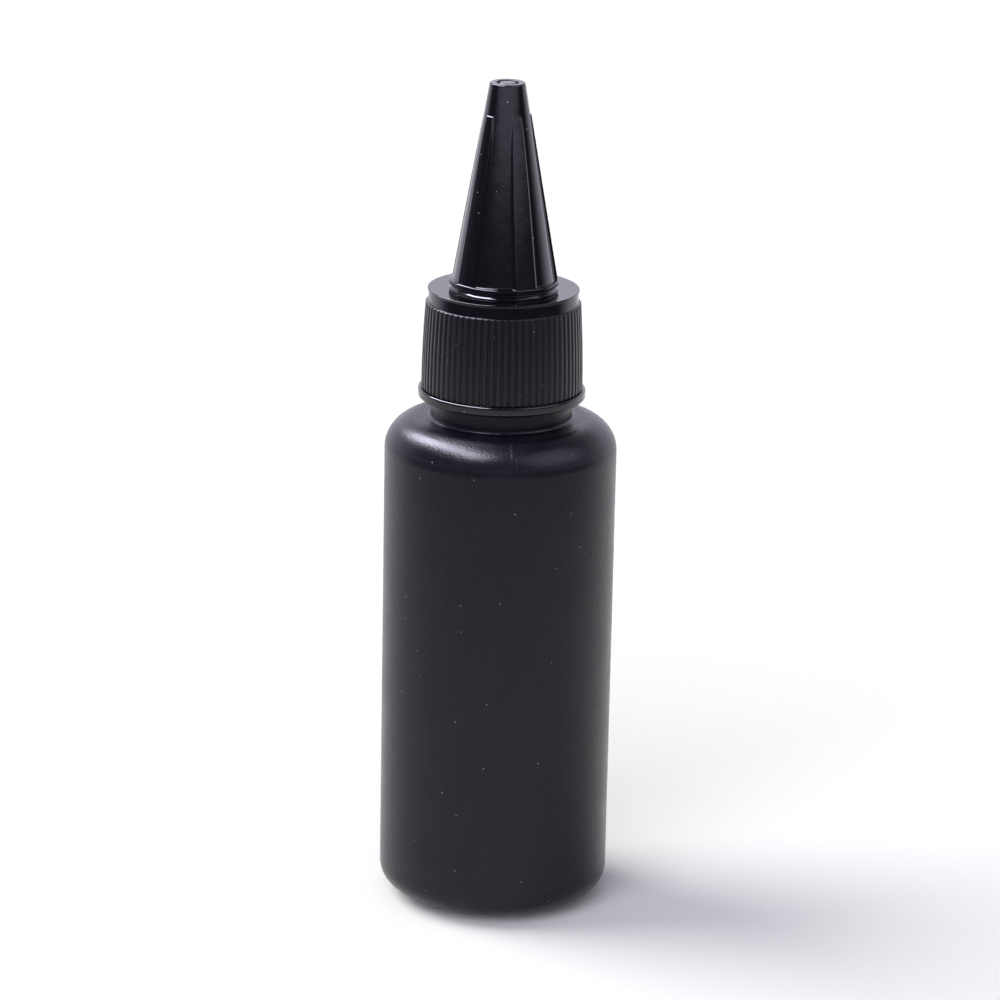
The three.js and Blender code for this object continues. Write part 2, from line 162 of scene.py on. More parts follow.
# Nozzle
CONE_BASE_RADIUS = 7.18
CONE_TIP_RADIUS = 2.5
RING_RADIUS = 7.75
RING_GROOVE_RADIUS = 7.42
RING_LIP_RADIUS = RING_RADIUS - 0.02
RING_LIP_EDGE = DECK + 0.14
RING_LIP_TOP = DECK + 0.42
RING_LEDGE = DECK + 0.75
RING_TOP = DECK + 1.4
ORIFICE_RADIUS = 1.55
ORIFICE_LAND = DECK + 27.61
GUIDE_RADIUS = 4.55
GUIDE_TOP = DECK + 9.66
CHAMBER_RADIUS = 4.9
CHAMBER_BOTTOM = DECK + 2.1
CHAMBER_TOP = DECK + 5.7
RIB_COUNT = 5
RIB_TURN = math.radians(25)
RIB_TOP = TIP - 4.42
RIB_END = 0.1
RIB_TOP_PROJECTION = 0.15
RIB_FOOT_PROJECTION = 0.38
RIB_TOP_HALF_WIDTH = 0.5
RIB_FOOT_HALF_WIDTH = 1.4
RIB_FLATNESS = 0.3
RIB_WIDENING = 0.6
BETWEEN_RIBS = 30

# ------------------------------------------------------------------ mesh code

ARC_STEP = math.radians(15)
ARC_PIECE = 0.25
HOLD = 0.06
TOUCH = 0.01


def rounded(corners, closed=False):
    """Outline through (radius, height, round) corners, where each corner with a round becomes an arc."""
    outline = []
    count = len(corners)
    for i, (radius, height, fillet) in enumerate(corners):
        corner = Vector((radius, height))
        at_end = not closed and i in (0, count - 1)
        if fillet == 0 or at_end:
            outline.append(corner)
            continue
        before = (Vector(corners[i - 1][:2]) - corner).normalized()
        after = (Vector(corners[(i + 1) % count][:2]) - corner).normalized()
        half = before.angle(after) / 2
        sweep = math.pi - 2 * half
        centre = corner + (before + after).normalized() * fillet / math.sin(half)
        start = corner + before * fillet / math.tan(half) - centre
        stop = corner + after * fillet / math.tan(half) - centre
        steps = max(2, math.ceil(sweep / ARC_STEP), math.ceil(fillet * sweep / ARC_PIECE))
        for k in range(steps + 1):
            part = k / steps
            blend = start * math.sin((1 - part) * sweep) + stop * math.sin(part * sweep)
            outline.append(centre + blend / math.sin(sweep))
    return outline


def spaced(outline, gap, closed=False):
    """The same outline with its long stretches divided; gap gives the longest piece at a radius and height.

    A long stretch also gets a ring close to each end, which keeps its shading flat up to the next arc.
    """
    points = []
    ends = outline[1:] + outline[:1] if closed else outline[1:]
    for start, stop in zip(outline, ends):
        length = (stop - start).length
        pieces = max(1, math.ceil(length / gap(*((start + stop) / 2))))
        shares = {k / pieces for k in range(pieces)}
        if length > 5 * HOLD:
            shares |= {HOLD / length, 1 - HOLD / length}
        points += [start.lerp(stop, share) for share in sorted(shares)]
    return points if closed else points + [outline[-1]]


def smooth(low, high, value):
    """0 below low, 1 above high, and an even rise between."""
    part = np.clip((value - low) / (high - low), 0, 1)
    return part * part * (3 - 2 * part)


def columns_and_rings(outline):
    """Radius and height of an outline as columns of numbers."""
    points = np.array([tuple(p) for p in outline])
    return points[:, :1], points[:, 1:]


def outline_normals(radius, height, closed=False):
    """Outward direction at each point of an outline that runs up its outer side."""
    points = np.hstack([radius, height])
    if closed:
        along = np.roll(points, -1, axis=0) - np.roll(points, 1, axis=0)
    else:
        along = np.gradient(points, axis=0)
    along /= np.linalg.norm(along, axis=1, keepdims=True)
    return along[:, 1:], -along[:, :1]


def thread_height(height, angle, start_turn, turns, bottom, depth):
    """How far a thread stands out of its wall: a rising helix that sinks into the wall at both ends."""
    raised = np.zeros(np.broadcast(height, angle).shape)
    turn_in_circle = angle / (2 * math.pi)
    for lap in range(math.floor(start_turn) - 1, math.ceil(start_turn + turns) + 1):
        along = turn_in_circle + lap - start_turn
        grown = smooth(0, THREAD_RUN_OUT, np.minimum(along, turns - along))
        off_centre = np.abs(height - bottom - along * THREAD_PITCH)
        flank = 1 - smooth(THREAD_CREST_WIDTH / 2, THREAD_ROOT_WIDTH / 2, off_centre)
        raised = np.maximum(raised, depth * grown * flank)
    return raised


def turned_mesh(name, radius, height, angle, closed=False):
    """Skin over rings of points. An open outline that starts or ends on the axis does so in one point."""
    radius, height, angle = np.broadcast_arrays(radius, height, angle)
    rings, columns = radius.shape
    cloud = np.stack([radius * np.cos(angle), radius * np.sin(angle), height], axis=-1) * MM
    mesh = bpy.data.meshes.new(name)
    build = bmesh.new()
    rows = []
    for ring in range(rings):
        on_axis = not closed and ring in (0, rings - 1) and radius[ring, 0] == 0
        if on_axis:
            rows.append([build.verts.new(cloud[ring, 0])] * columns)
        else:
            rows.append([build.verts.new(point) for point in cloud[ring]])
    if closed:
        rows.append(rows[0])
    for lower, upper in zip(rows, rows[1:]):
        for j in range(columns):
            k = (j + 1) % columns
            corners = dict.fromkeys((lower[j], lower[k], upper[k], upper[j]))
            build.faces.new(corners).smooth = True
    build.to_mesh(mesh)
    build.free()
    piece = bpy.data.objects.new(name, mesh)
    bpy.context.scene.collection.objects.link(piece)
    return piece


def even_turns(count):
    """Even turns all round, as one row."""
    return np.linspace(0, 2 * math.pi, count, endpoint=False)[None, :]


def turns_with_clusters(count, centres, offsets):
    """Even turns all round, with a set of closer ones at each centre in place of the even ones there."""
    span = max(abs(o) for o in offsets)
    even = np.linspace(0, 2 * math.pi, count, endpoint=False)
    kept = [a for a in even if all(abs(math.remainder(a - c, 2 * math.pi)) > span for c in centres)]
    close = [(c + o) % (2 * math.pi) for c in centres for o in offsets]
    return np.array(sorted(kept + close))[None, :]


def off_turn(angle, centre):
    """Signed turn from a centre to an angle, the short way round."""
    return (angle - centre + math.pi) % (2 * math.pi) - math.pi


# ------------------------------------------------------------------ materials


def linear(hex_colour):
    """sRGB hex to the linear colour that shaders take."""
    channels = [int(hex_colour[i : i + 2], 16) / 255 for i in (1, 3, 5)]
    turned = [c / 12.92 if c <= 0.04045 else ((c + 0.055) / 1.055) ** 2.4 for c in channels]
    return (*turned, 1.0)


def add_node(tree, kind, properties=None, inputs=None, links=None):
    """One node with its properties, its socket values, and the outputs that feed its sockets."""
    made = tree.nodes.new(kind)
    for name, value in (properties or {}).items():
        setattr(made, name, value)
    for socket, value in (inputs or {}).items():
        made.inputs[socket].default_value = value
    for socket, source in (links or {}).items():
        tree.links.new(source, made.inputs[socket])
    return made


def per_mm(size):
    """Texture scale that gives features of about this size in millimetres."""
    return 1 / (size * MM)


def new_material(name):
    material = bpy.data.materials.new(name)
    material.use_nodes = True
    material.node_tree.nodes.clear()
    return material, material.node_tree


def dust_specks(tree, place, spacing, radius, share):
    """1 on a few scattered round specks: one cell in every 1/share holds one.

    Real dust is about 0.05 mm across; it is drawn up to 0.2 mm across so that it shows.
    """
    cells = add_node(
        tree,
        "ShaderNodeTexVoronoi",
        inputs={"Scale": per_mm(spacing), "Randomness": 1.0},
        links={"Vector": place},
    )
    near = add_node(
        tree,
        "ShaderNodeMath",
        {"operation": "LESS_THAN"},
        inputs={1: radius / spacing},
        links={0: cells.outputs["Distance"]},
    )
    pick = add_node(tree, "ShaderNodeSeparateColor", links={"Color": cells.outputs["Color"]})
    chosen = add_node(
        tree,
        "ShaderNodeMath",
        {"operation": "LESS_THAN"},
        inputs={1: share},
        links={0: pick.outputs["Red"]},
    )
    return add_node(
        tree,
        "ShaderNodeMath",
        {"operation": "MULTIPLY"},
        links={0: near.outputs["Value"], 1: chosen.outputs["Value"]},
    ).outputs["Value"]


# High-density polyethylene filled with carbon black and blown in a sand-blasted mould: a deep, faintly
# violet black with a satin skin, whose fine grain breaks highlights into a soft, speckled glow. The grain
# of the blasted mould is about 0.1 mm, and is drawn at 0.34 mm so that it shows. The IOR is set below the
# plastic's 1.54, because the grain scatters part of the gloss.
def blow_moulded_polyethylene():
    material, tree = new_material("blow_moulded_polyethylene")
    place = add_node(tree, "ShaderNodeTexCoord").outputs["Object"]
    grain = add_node(
        tree,
        "ShaderNodeTexNoise",
        inputs={"Scale": per_mm(0.34), "Detail": 2.0, "Roughness": 0.6},
        links={"Vector": place},
    )
    swell = add_node(
        tree, "ShaderNodeTexNoise", inputs={"Scale": per_mm(11), "Detail": 1.0}, links={"Vector": place}
    )
    patches = add_node(
        tree,
        "ShaderNodeTexNoise",
        inputs={"Scale": per_mm(5), "Detail": 4.0, "Roughness": 0.6},
        links={"Vector": place},
    )
    tall = add_node(
        tree, "ShaderNodeMapping", inputs={"Scale": (1.0, 1.0, 0.08)}, links={"Vector": place}
    )
    rubs = add_node(
        tree,
        "ShaderNodeTexNoise",
        inputs={"Scale": per_mm(0.8), "Detail": 3.0},
        links={"Vector": tall.outputs["Vector"]},
    )
    specks = dust_specks(tree, place, spacing=1.9, radius=0.1, share=0.35)
    shade = add_node(
        tree,
        "ShaderNodeMapRange",
        inputs={"From Min": 0.35, "From Max": 0.65},
        links={"Value": patches.outputs["Fac"]},
    )
    black = add_node(
        tree,
        "ShaderNodeMix",
        {"data_type": "RGBA"},
        inputs={6: linear("#0a0811"), 7: linear("#0f0d18")},
        links={0: shade.outputs["Result"]},
    )
    dusty = add_node(
        tree,
        "ShaderNodeMix",
        {"data_type": "RGBA"},
        inputs={7: linear("#747279")},
        links={0: specks, 6: black.outputs[2]},
    )
    satin = add_node(
        tree,
        "ShaderNodeMapRange",
        inputs={"From Min": 0.3, "From Max": 0.7, "To Min": 0.26, "To Max": 0.33},
        links={"Value": patches.outputs["Fac"]},
    )
    rubbed = add_node(
        tree,
        "ShaderNodeMapRange",
        inputs={"From Min": 0.62, "From Max": 0.8, "To Min": 0.0, "To Max": -0.06},
        links={"Value": rubs.outputs["Fac"]},
    )
    roughness = add_node(
        tree,
        "ShaderNodeMath",
        {"operation": "ADD"},
        links={0: satin.outputs["Result"], 1: rubbed.outputs["Result"]},
    )
    swollen = add_node(
        tree,
        "ShaderNodeBump",
        inputs={"Strength": 0.35, "Distance": 0.3 * MM},
        links={"Height": swell.outputs["Fac"]},
    )
    grained = add_node(
        tree,
        "ShaderNodeBump",
        inputs={"Strength": 1.0, "Distance": 0.034 * MM},
        links={"Height": grain.outputs["Fac"], "Normal": swollen.outputs["Normal"]},
    )
    surface = add_node(
        tree,
        "ShaderNodeBsdfPrincipled",
        inputs={"IOR": 1.35, "Metallic": 0.0},
        links={
            "Base Color": dusty.outputs[2],
            "Roughness": roughness.outputs["Value"],
            "Normal": grained.outputs["Normal"],
        },
    )
    add_node(tree, "ShaderNodeOutputMaterial", links={"Surface": surface.outputs["BSDF"]})
    return material


# Polypropylene filled with carbon black and injected into a polished mould: a deep black gloss that mirrors
# its neighbours. The knurls come from a spark-eroded part of the mould and are duller. Its pits are about
# 0.03 mm, and are drawn at 0.16 mm so that they show.
def injection_moulded_polypropylene():
    material, tree = new_material("injection_moulded_polypropylene")
    place = add_node(tree, "ShaderNodeTexCoord").outputs["Object"]
    peel = add_node(
        tree, "ShaderNodeTexNoise", inputs={"Scale": per_mm(1.6), "Detail": 2.0}, links={"Vector": place}
    )
    patches = add_node(
        tree,
        "ShaderNodeTexNoise",
        inputs={"Scale": per_mm(2.5), "Detail": 4.0, "Roughness": 0.6},
        links={"Vector": place},
    )
    erosion = add_node(
        tree, "ShaderNodeTexNoise", inputs={"Scale": per_mm(0.16), "Detail": 2.0}, links={"Vector": place}
    )
    split = add_node(tree, "ShaderNodeSeparateXYZ", links={"Vector": place})
    above = add_node(
        tree,
        "ShaderNodeMath",
        {"operation": "GREATER_THAN"},
        inputs={1: (FLANGE_TOP + 0.1) * MM},
        links={0: split.outputs["Z"]},
    )
    below = add_node(
        tree,
        "ShaderNodeMath",
        {"operation": "LESS_THAN"},
        inputs={1: SKIRT_TOP * MM},
        links={0: split.outputs["Z"]},
    )
    eroded = add_node(
        tree,
        "ShaderNodeMath",
        {"operation": "MULTIPLY"},
        links={0: above.outputs["Value"], 1: below.outputs["Value"]},
    )
    specks = dust_specks(tree, place, spacing=1.3, radius=0.09, share=0.35)
    dusty = add_node(
        tree,
        "ShaderNodeMix",
        {"data_type": "RGBA"},
        inputs={6: linear("#09070e"), 7: linear("#88868e")},
        links={0: specks},
    )
    gloss = add_node(
        tree,
        "ShaderNodeMapRange",
        inputs={"From Min": 0.3, "From Max": 0.7, "To Min": 0.05, "To Max": 0.09},
        links={"Value": patches.outputs["Fac"]},
    )
    roughness = add_node(
        tree,
        "ShaderNodeMix",
        {"data_type": "FLOAT"},
        inputs={3: 0.34},
        links={0: eroded.outputs["Value"], 2: gloss.outputs["Result"]},
    )
    peeled = add_node(
        tree,
        "ShaderNodeBump",
        inputs={"Strength": 0.08, "Distance": 0.05 * MM},
        links={"Height": peel.outputs["Fac"]},
    )
    bitten = add_node(
        tree,
        "ShaderNodeMath",
        {"operation": "MULTIPLY"},
        links={0: erosion.outputs["Fac"], 1: eroded.outputs["Value"]},
    )
    textured = add_node(
        tree,
        "ShaderNodeBump",
        inputs={"Strength": 0.3, "Distance": 0.02 * MM},
        links={"Height": bitten.outputs["Value"], "Normal": peeled.outputs["Normal"]},
    )
    surface = add_node(
        tree,
        "ShaderNodeBsdfPrincipled",
        inputs={"IOR": 1.49, "Metallic": 0.0},
        links={
            "Base Color": dusty.outputs[2],
            "Roughness": roughness.outputs[0],
            "Normal": textured.outputs["Normal"],
        },
    )
    add_node(tree, "ShaderNodeOutputMaterial", links={"Surface": surface.outputs["BSDF"]})
    return material


# Expanded polyethylene sheet, punched out: an off-white, matt face with small closed cells.
def expanded_polyethylene_foam():
    material, tree = new_material("expanded_polyethylene_foam")
    place = add_node(tree, "ShaderNodeTexCoord").outputs["Object"]
    cells = add_node(
        tree, "ShaderNodeTexVoronoi", inputs={"Scale": per_mm(0.35)}, links={"Vector": place}
    )
    stain = add_node(
        tree, "ShaderNodeTexNoise", inputs={"Scale": per_mm(3), "Detail": 3.0}, links={"Vector": place}
    )
    white = add_node(
        tree,
        "ShaderNodeMix",
        {"data_type": "RGBA"},
        inputs={6: linear("#efede6"), 7: linear("#dfdbd0")},
        links={0: stain.outputs["Fac"]},
    )
    celled = add_node(
        tree,
        "ShaderNodeBump",
        inputs={"Strength": 0.5, "Distance": 0.06 * MM},
        links={"Height": cells.outputs["Distance"]},
    )
    surface = add_node(
        tree,
        "ShaderNodeBsdfPrincipled",
        inputs={"IOR": 1.5, "Roughness": 0.75},
        links={"Base Color": white.outputs[2], "Normal": celled.outputs["Normal"]},
    )
    add_node(tree, "ShaderNodeOutputMaterial", links={"Surface": surface.outputs["BSDF"]})
    return material


# Matt card, the white sheet that the bottle stands on. Its fibres are about 0.03 mm thick, and their tangle
# is drawn at 0.9 mm as a faint mottle.
def matt_card():
    material, tree = new_material("matt_card")
    place = add_node(tree, "ShaderNodeTexCoord").outputs["Object"]
    fibre = add_node(
        tree, "ShaderNodeTexNoise", inputs={"Scale": per_mm(0.9), "Detail": 3.0}, links={"Vector": place}
    )
    pale = add_node(
        tree,
        "ShaderNodeMix",
        {"data_type": "RGBA"},
        inputs={6: linear("#ebebed"), 7: linear("#eeeeef")},
        links={0: fibre.outputs["Fac"]},
    )
    surface = add_node(
        tree,
        "ShaderNodeBsdfPrincipled",
        inputs={"Roughness": 0.9, "Specular IOR Level": 0.0},
        links={"Base Color": pale.outputs[2]},
    )
    add_node(tree, "ShaderNodeOutputMaterial", links={"Surface": surface.outputs["BSDF"]})
    return material


def finish_piece(piece, body, node, material):
    """Gives a piece its material and its body, and hides the CAD node that it stands for."""
    piece.data.materials.append(material)
    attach(piece, body)
    if node:
        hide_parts(node)


# ------------------------------------------------------------------ bottle


def bottle_shell(material):
    inner = BODY_RADIUS - BODY_WALL
    inner_top = BODY_HEIGHT - BODY_WALL
    outside = [
        (0, PUSH_UP, 0),
        (DOME_FLAT, PUSH_UP, DOME_ROUND),
        (DOME_RADIUS, 0.0, 0.6),
        (STANDING_RADIUS, 0, 0.8),
        (BODY_RADIUS - BASE_TAPER, BASE_RISE, BASE_ROUND),
        (BODY_RADIUS, BODY_HEIGHT, SHOULDER_ROUND),
        (BEAD_RADIUS, BODY_HEIGHT, 0.5),
        (BEAD_RADIUS, BEAD_TOP, 0.3),
        (NECK_RADIUS, BEAD_TOP, 0.25),
        (NECK_RADIUS, NECK_TOP, NECK_LIP_ROUND),
    ]
    inside = [
        (NECK_BORE_RADIUS, NECK_TOP, 0.1),
        (NECK_BORE_RADIUS, BODY_HEIGHT - 1.0, 1.5),
        (inner, inner_top, SHOULDER_ROUND - BODY_WALL),
        (inner, BASE_RISE + BODY_WALL, BASE_ROUND - BODY_WALL),
        (STANDING_RADIUS, BODY_WALL, 0.8),
        (DOME_RADIUS, BODY_WALL, 0.6),
        (DOME_FLAT, PUSH_UP + BODY_WALL, DOME_ROUND),
        (0, PUSH_UP + BODY_WALL, 0),
    ]

    def gap(radius, height):
        on_thread = abs(radius - NECK_RADIUS) < TOUCH and BEAD_TOP < height < NECK_TOP
        return 0.16 if on_thread else 1.0

    radius, height = columns_and_rings(spaced(rounded(outside + inside), gap))
    outer = np.arange(len(radius))[:, None] < np.argmax(height[:, 0] >= NECK_TOP - 1e-6)
    across, up = outline_normals(radius, height)
    partings = (PARTING_TURN - math.pi / 2, PARTING_TURN + math.pi / 2)
    edge = PARTING_EDGE / BODY_RADIUS
    half = PARTING_WIDTH / 2 / BODY_RADIUS
    beside = (half + 2 * edge, half + edge / 2, half, half - edge / 2, half / 3)
    offsets = [side * offset for side in (-1, 1) for offset in beside]
    angle = turns_with_clusters(BODY_COLUMNS, partings, offsets)

    raised = np.zeros(np.broadcast(radius, angle).shape)
    for centre in partings:
        turn = off_turn(angle, centre)
        aside = np.abs(turn) * np.maximum(radius, 1e-6)
        facing = np.abs(turn) < math.pi / 2
        band = 1 - smooth((PARTING_WIDTH - PARTING_EDGE) / 2, (PARTING_WIDTH + PARTING_EDGE) / 2, aside)
        raised += PARTING_HEIGHT * band * facing
        pinch = 1 - smooth(*PINCH_HALF_WIDTH, np.abs(np.sin(turn)) * radius)
        ends = 1 - smooth(PINCH_LENGTH / 2 - PINCH_END, PINCH_LENGTH / 2, radius)
        raised = np.maximum(raised, PINCH_HEIGHT * pinch * ends * (height < PUSH_UP + 0.1))
    raised *= outer * smooth(0.2, 0.7, height)
    thread = thread_height(height, angle, 0, NECK_THREAD_TURNS, NECK_THREAD_BOTTOM, THREAD_DEPTH)
    on_neck = outer & (np.abs(radius - NECK_RADIUS) < TOUCH)
    radius, height = radius + across * raised + thread * on_neck, height + up * raised
    shell = turned_mesh("bottle_shell", radius, height, angle)
    finish_piece(shell, "bottle", "bottle", material)


# ------------------------------------------------------------------ liner


def liner_washer(material):
    outline = rounded(
        [
            (LINER_HOLE_RADIUS, NECK_TOP, LINER_ROUND),
            (LINER_RADIUS, NECK_TOP, LINER_ROUND),
            (LINER_RADIUS, UNDER_DECK, LINER_ROUND),
            (LINER_HOLE_RADIUS, UNDER_DECK, LINER_ROUND),
        ],
        closed=True,
    )
    radius, height = columns_and_rings(spaced(outline, lambda r, z: 0.8, closed=True))
    underside = 1 - smooth(0.1, 0.3, height - NECK_TOP)
    over_the_rim = smooth(7.0, 7.4, radius) * (1 - smooth(8.6, 8.9, radius))
    pressed = height + LINER_DENT * underside * over_the_rim
    washer = turned_mesh("liner_washer", radius, pressed, even_turns(LINER_COLUMNS), closed=True)
    finish_piece(washer, "liner", "sealing_liner", material)


# ------------------------------------------------------------------ screw cap


def skirt_swell(height):
    """How much wider the skirt is than at its top."""
    part = (height - FLANGE_TOP) / (SKIRT_TOP - FLANGE_TOP)
    return SKIRT_FLARE * (1 - part * part)


def closure_cap(material):
    below_top, halfway, knurl_top = (SKIRT_TOP - below for below in KNURL_TOP_BELOW)
    skirt_rings = np.linspace(FLANGE_TOP + 0.8, SKIRT_TOP - 0.6, SKIRT_RINGS)
    skirt_heights = (FLANGE_TOP + KNURL_END, *skirt_rings, below_top)
    skirt = [(GROOVE_RADIUS + skirt_swell(z), z, 0) for z in skirt_heights]
    corners = [
        (CAP_BORE_RADIUS + 0.3, CAP_BOTTOM, 0.05),
        (FLANGE_RADIUS, CAP_BOTTOM, 0.3),
        (FLANGE_RADIUS, FLANGE_TOP, 0.28),
        (GROOVE_RADIUS + SKIRT_FLARE, FLANGE_TOP, 0.04),
        *skirt,
        (GROOVE_RADIUS, halfway, 0),
        (GROOVE_RADIUS, knurl_top, 0),
        (GROOVE_RADIUS, SKIRT_TOP, 0.015),
        (BAND_RADIUS, SKIRT_TOP, 0.04),
        (BAND_RADIUS, DECK - DECK_LIP - 0.15, 0.08),
        (DECK_RADIUS, DECK - DECK_LIP, 0.05),
        (DECK_RADIUS, DECK, 0.1),
        (STEM_RADIUS, DECK, 0.4),
        (STEM_RADIUS, STOP_BEAD_BOTTOM, 0.1),
        (STOP_BEAD_RADIUS, STOP_BEAD_BOTTOM + 0.3, 0.15),
        (STOP_BEAD_RADIUS, STOP_BEAD_TOP - 0.3, 0.15),
        (STEM_RADIUS, STOP_BEAD_TOP, 0.1),
        (STEM_RADIUS, STEM_TOP, 0.2),
        (STEM_BORE_RADIUS, STEM_TOP, 0.15),
        (STEM_BORE_RADIUS, UNDER_DECK, 0.15),
        (LINER_SEAT_RADIUS, UNDER_DECK, 0.1),
        (LINER_SEAT_RADIUS, UNDER_DECK - 1.1, 0.1),
        (CAP_BORE_RADIUS, UNDER_DECK - 1.4, 0.15),
        (CAP_BORE_RADIUS, CAP_BOTTOM + 0.3, 0.1),
    ]

    def gap(radius, height):
        on_thread = abs(radius - CAP_BORE_RADIUS) < TOUCH
        on_deck = abs(height - DECK) < TOUCH and radius > RING_RADIUS
        return 0.24 if on_thread else 0.7 if on_deck else 2.0

    outline = spaced(rounded(corners, closed=True), gap, closed=True)
    radius, height = columns_and_rings(outline)
    shares = [0.0, *KNURL_FLANK, 0.5, *(1 - share for share in reversed(KNURL_FLANK))]
    parts = [(i + share) / KNURL_COUNT for i in range(KNURL_COUNT) for share in shares]
    angle = np.array(parts)[None, :] * 2 * math.pi

    share = angle * KNURL_COUNT / (2 * math.pi) % 1
    from_groove = np.minimum(share, 1 - share)
    rib = smooth(KNURL_FLANK[0], KNURL_FLANK[-1], from_groove)
    above_flange = height > FLANGE_TOP - TOUCH
    on_skirt = above_flange & (height < SKIRT_TOP + TOUCH) & (radius > GROOVE_RADIUS - 2 * TOUCH)
    ends = smooth(FLANGE_TOP, FLANGE_TOP + KNURL_END, height)
    ends = ends * np.interp(height, (below_top, halfway, knurl_top), KNURL_TOP_SHARE)
    knurl = KNURL_DEPTH * rib * ends * on_skirt

    below = CAP_THREAD_TURNS - 1
    thread = thread_height(
        height,
        angle,
        -below,
        CAP_THREAD_TURNS,
        NECK_THREAD_BOTTOM - below * THREAD_PITCH - CAP_THREAD_BELOW,
        CAP_THREAD_DEPTH,
    )
    in_bore = np.abs(radius - CAP_BORE_RADIUS) < TOUCH
    cap = turned_mesh("closure_cap", radius + knurl - thread * in_bore, height, angle, closed=True)
    finish_piece(cap, "cap", "screw_cap", material)


def inner_cone(height):
    """Radius of the nozzle's bore between the guide and the orifice."""
    part = (height - GUIDE_TOP) / (ORIFICE_LAND - GUIDE_TOP)
    return GUIDE_RADIUS + (ORIFICE_RADIUS - GUIDE_RADIUS) * part


def plug_pin(material):
    seal = SEAL_TOP - SEAL_LENGTH
    outline = rounded(
        [
            (0, SPOKE_BOTTOM, 0),
            (PIN_FOOT_RADIUS, SPOKE_BOTTOM, 0.2),
            (PIN_FOOT_RADIUS, SPOKE_TOP, 0.2),
            (PIN_RADIUS, SPOKE_TOP + PIN_RADIUS, 0.2),
            (PIN_RADIUS, SEAL_BOTTOM, 0.2),
            (inner_cone(seal) - SEAL_GAP, seal, 0.1),
            (inner_cone(SEAL_TOP) - SEAL_GAP, SEAL_TOP, 0.05),
            (PIN_RADIUS, SEAL_TOP + 0.15, 0.05),
            (PIN_RADIUS, PIN_TOP, 0.18),
            (0, PIN_TOP, 0),
        ]
    )
    radius, height = columns_and_rings(spaced(outline, lambda r, z: 1.5))
    pin = turned_mesh("plug_pin", radius, height, even_turns(PIN_COLUMNS))
    build = bmesh.new()
    build.from_mesh(pin.data)
    reach = STEM_BORE_RADIUS + 0.2
    middle = Vector((reach / 2, 0, (SPOKE_BOTTOM + SPOKE_TOP) / 2))
    size = Vector((reach, SPOKE_THICKNESS, SPOKE_TOP - SPOKE_BOTTOM - 0.02))
    for i in range(SPOKE_COUNT):
        turn = Matrix.Rotation(i * 2 * math.pi / SPOKE_COUNT, 4, "Z")
        place = Matrix.Scale(MM, 4) @ turn @ Matrix.Translation(middle) @ Matrix.Diagonal((*size, 1))
        corners = bmesh.ops.create_cube(build, size=1, matrix=place)["verts"]
        edges = {e for v in corners for e in v.link_edges}
        bmesh.ops.bevel(build, geom=list(edges), offset=0.12 * MM, segments=2, affect="EDGES", profile=0.5)
    build.to_mesh(pin.data)
    build.free()
    finish_piece(pin, "cap", None, material)


# ------------------------------------------------------------------ nozzle


def cone_radius(height):
    """Radius of the outside of the nozzle, without its ribs."""
    part = (TIP - height) / (TIP - RING_TOP)
    return CONE_TIP_RADIUS + (CONE_BASE_RADIUS - CONE_TIP_RADIUS) * part


def down_the_rib(height):
    """0 at the top of the ribs and 1 at their foot."""
    return np.clip((RIB_TOP - height) / (RIB_TOP - RING_TOP), 0, 1)


